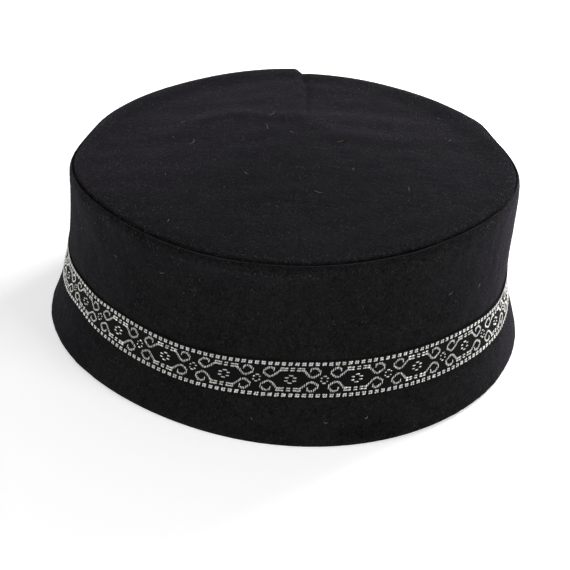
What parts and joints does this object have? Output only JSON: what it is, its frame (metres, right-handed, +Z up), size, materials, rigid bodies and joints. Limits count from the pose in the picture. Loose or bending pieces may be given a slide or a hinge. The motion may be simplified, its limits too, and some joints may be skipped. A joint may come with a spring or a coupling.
{
  "type": "kufi cap",
  "caption": "Soft round felt cap with a flared side wall, a flat crown sewn into its top edge and a woven ornamental ribbon round the side.",
  "frame": {"origin": "on the surface the cap rests on, in the middle of the cap's outline seen from above", "axes": "+Z up through the crown, -Y the front that faces the camera, +X the cap's left side as worn, which is the right side of the picture"},
  "size_m": [0.1974, 0.2032, 0.0765],
  "materials": {
    "black_felt": "matt black wool felt with a short nap",
    "ribbon_weave": "black satin ground with a raised silver thread pattern"
  },
  "bodies": {
    "root": {"side_wall": "black_felt", "crown_top": "black_felt", "woven_ribbon": "ribbon_weave"}
  },
  "joints": []
}
